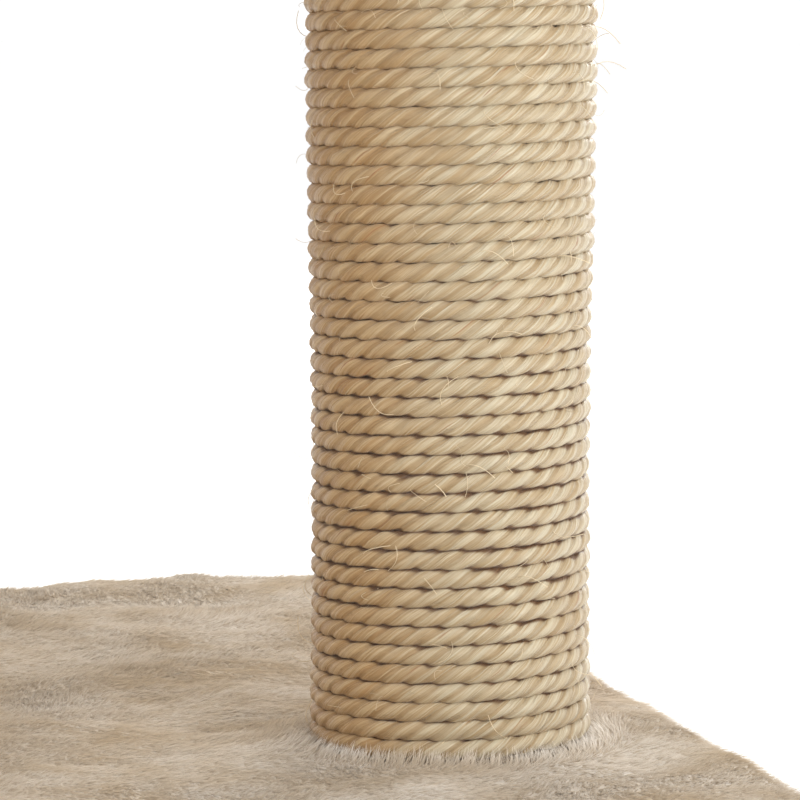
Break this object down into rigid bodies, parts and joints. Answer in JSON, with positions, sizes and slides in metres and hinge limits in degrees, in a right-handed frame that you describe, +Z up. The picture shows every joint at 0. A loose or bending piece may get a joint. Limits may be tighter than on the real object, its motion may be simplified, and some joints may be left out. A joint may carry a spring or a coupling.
{
  "type": "cat tree",
  "caption": "Plush-covered cat tree: base with a condo and a sisal post, a platform, and an upper padded perch on sisal posts.",
  "frame": {"origin": "middle of the footprint, on the floor under the feet", "axes": "+Z up, +X to the object's right with the free-standing lower post, -Y to the front, where the condo's door is"},
  "size_m": [0.61, 0.51, 0.831],
  "materials": {
    "plush": "short pale beige plush, brushed",
    "padding": "short pale beige plush over foam",
    "lining": "short beige plush",
    "sisal": "twisted natural sisal rope",
    "board": "raw particle board",
    "plug_wood": "raw softwood",
    "tube": "spiral-wound cardboard",
    "steel": "zinc plated",
    "foot_pad": "matt foam rubber"
  },
  "bodies": {
    "root": {"base_board": "board", "base_cover": "plush", "base_staples": "steel", "base_feet": "foot_pad", "lower_post_tube": "tube", "lower_post_plugs": "plug_wood", "lower_post_nuts": "steel", "lower_post_sisal": "sisal", "lower_post_bolts": "steel", "lower_post_washers": "steel", "condo_front": "board", "condo_back": "board", "condo_left": "board", "condo_right": "board", "condo_cover": "plush", "condo_lining": "lining", "condo_door_trim": "plush", "condo_corner_screws": "steel", "condo_base_screws": "steel", "condo_top_screws": "steel", "platform_board": "board", "platform_cover": "plush", "left_post_tube": "tube", "left_post_plugs": "plug_wood", "left_post_nuts": "steel", "left_post_sisal": "sisal", "right_post_tube": "tube", "right_post_plugs": "plug_wood", "right_post_nuts": "steel", "right_post_sisal": "sisal", "upper_post_bolts": "steel", "upper_post_washers": "steel", "perch_board": "board", "perch_cover": "plush", "perch_rim": "padding"}
  },
  "joints": []
}
